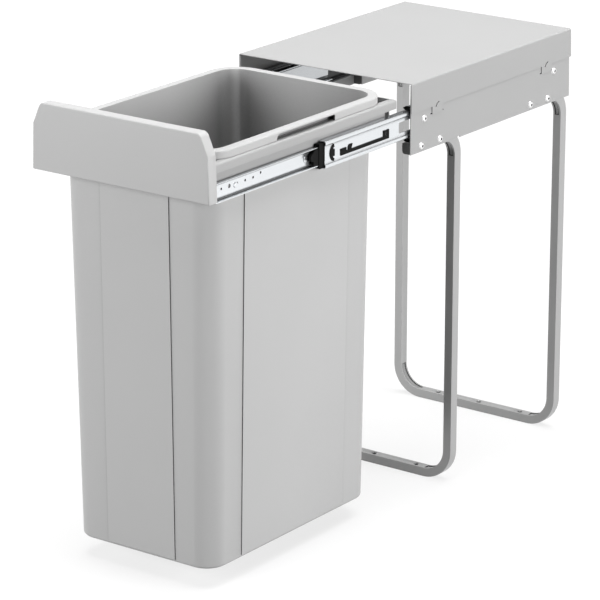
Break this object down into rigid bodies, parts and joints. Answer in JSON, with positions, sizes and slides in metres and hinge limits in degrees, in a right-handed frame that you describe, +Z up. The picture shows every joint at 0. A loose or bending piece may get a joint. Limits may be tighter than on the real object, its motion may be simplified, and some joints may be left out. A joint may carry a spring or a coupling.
{
  "type": "pull out bin frame",
  "caption": "Waste bin that pulls out of a narrow base cabinet on ball bearing slides, hung from a sheet box on two bent tube leg loops.",
  "frame": {"origin": "centre of the underside of the front floor rail", "axes": "+X to the right seen from the front, +Y to the back of the cabinet and the way the bin closes, +Z up"},
  "size_m": [0.2564, 0.736, 0.55],
  "materials": {
    "grey_coated_steel": "satin powder coat",
    "grey_coated_tube": "satin powder coat",
    "zinc_steel": "bright zinc plate",
    "nickel_screws": "nickel plate",
    "bearing_steel": "polished",
    "grey_plastic": "fine moulded grain",
    "black_plastic": "moulded"
  },
  "bodies": {
    "root": {"cover_plate": "grey_coated_steel", "front_leg_loop": "grey_coated_tube", "rear_leg_loop": "grey_coated_tube", "arm_end_plugs": "black_plastic", "side_panel_right": "grey_coated_steel", "side_panel_left": "grey_coated_steel", "arm_screws_right": "nickel_screws", "arm_screws_left": "nickel_screws", "slide_screws_right": "nickel_screws", "slide_screws_left": "nickel_screws", "cabinet_channel_right": "zinc_steel", "cabinet_channel_left": "zinc_steel", "front_buffer_right": "black_plastic", "front_buffer_left": "black_plastic"},
    "carrier": {"rear_cross_rail": "grey_coated_steel", "front_panel": "grey_plastic", "panel_screws": "nickel_screws", "drawer_channel_right": "zinc_steel", "drawer_channel_left": "zinc_steel", "carrier_rail_right": "grey_coated_steel", "carrier_rail_left": "grey_coated_steel", "rail_rivets_right": "zinc_steel", "rail_rivets_left": "zinc_steel"},
    "bucket": {"bucket": "grey_plastic"},
    "middle_slide_right": {"middle_channel_right": "zinc_steel", "latch_strip_right": "black_plastic", "lever_pin_right": "zinc_steel"},
    "latch_lever_right": {"latch_lever_right": "black_plastic"},
    "outer_cage_right": {"outer_ball_cage_right": "zinc_steel", "outer_balls_right": "bearing_steel"},
    "inner_cage_right": {"inner_ball_cage_right": "black_plastic", "inner_balls_right": "bearing_steel"},
    "middle_slide_left": {"middle_channel_left": "zinc_steel", "latch_strip_left": "black_plastic", "lever_pin_left": "zinc_steel"},
    "latch_lever_left": {"latch_lever_left": "black_plastic"},
    "outer_cage_left": {"outer_ball_cage_left": "zinc_steel", "outer_balls_left": "bearing_steel"},
    "inner_cage_left": {"inner_ball_cage_left": "black_plastic", "inner_balls_left": "bearing_steel"}
  },
  "joints": [
    {"name": "pull_out", "type": "slide", "parent": "root", "child": "carrier", "axis": [0, 1, 0], "range_m": [0, 0.368]},
    {"name": "bucket_lift", "type": "slide", "parent": "carrier", "child": "bucket", "axis": [0, 0, 1], "range_m": [0, 0.003]},
    {"name": "middle_slide_right_travel", "type": "slide", "parent": "root", "child": "middle_slide_right", "axis": [0, 1, 0], "range_m": [0, 0.171]},
    {"name": "outer_cage_right_travel", "type": "slide", "parent": "root", "child": "outer_cage_right", "axis": [0, 1, 0], "range_m": [0, 0.0855]},
    {"name": "inner_cage_right_travel", "type": "slide", "parent": "root", "child": "inner_cage_right", "axis": [0, 1, 0], "range_m": [0, 0.2695]},
    {"name": "latch_lever_right_turn", "type": "hinge", "parent": "middle_slide_right", "child": "latch_lever_right", "pos_m": [0.1216, -0.254, 0.478], "axis": [1, 0, 0], "range_deg": [-6, 6]},
    {"name": "middle_slide_left_travel", "type": "slide", "parent": "root", "child": "middle_slide_left", "axis": [0, 1, 0], "range_m": [0, 0.171]},
    {"name": "outer_cage_left_travel", "type": "slide", "parent": "root", "child": "outer_cage_left", "axis": [0, 1, 0], "range_m": [0, 0.0855]},
    {"name": "inner_cage_left_travel", "type": "slide", "parent": "root", "child": "inner_cage_left", "axis": [0, 1, 0], "range_m": [0, 0.2695]},
    {"name": "latch_lever_left_turn", "type": "hinge", "parent": "middle_slide_left", "child": "latch_lever_left", "pos_m": [-0.1216, -0.254, 0.478], "axis": [1, 0, 0], "range_deg": [-6, 6]}
  ],
  "couplings": [
    {"joint": "middle_slide_right_travel", "follows": "pull_out", "ratio": 0.46467},
    {"joint": "outer_cage_right_travel", "follows": "pull_out", "ratio": 0.23234},
    {"joint": "inner_cage_right_travel", "follows": "pull_out", "ratio": 0.73234},
    {"joint": "middle_slide_left_travel", "follows": "pull_out", "ratio": 0.46467},
    {"joint": "outer_cage_left_travel", "follows": "pull_out", "ratio": 0.23234},
    {"joint": "inner_cage_left_travel", "follows": "pull_out", "ratio": 0.73234}
  ]
}
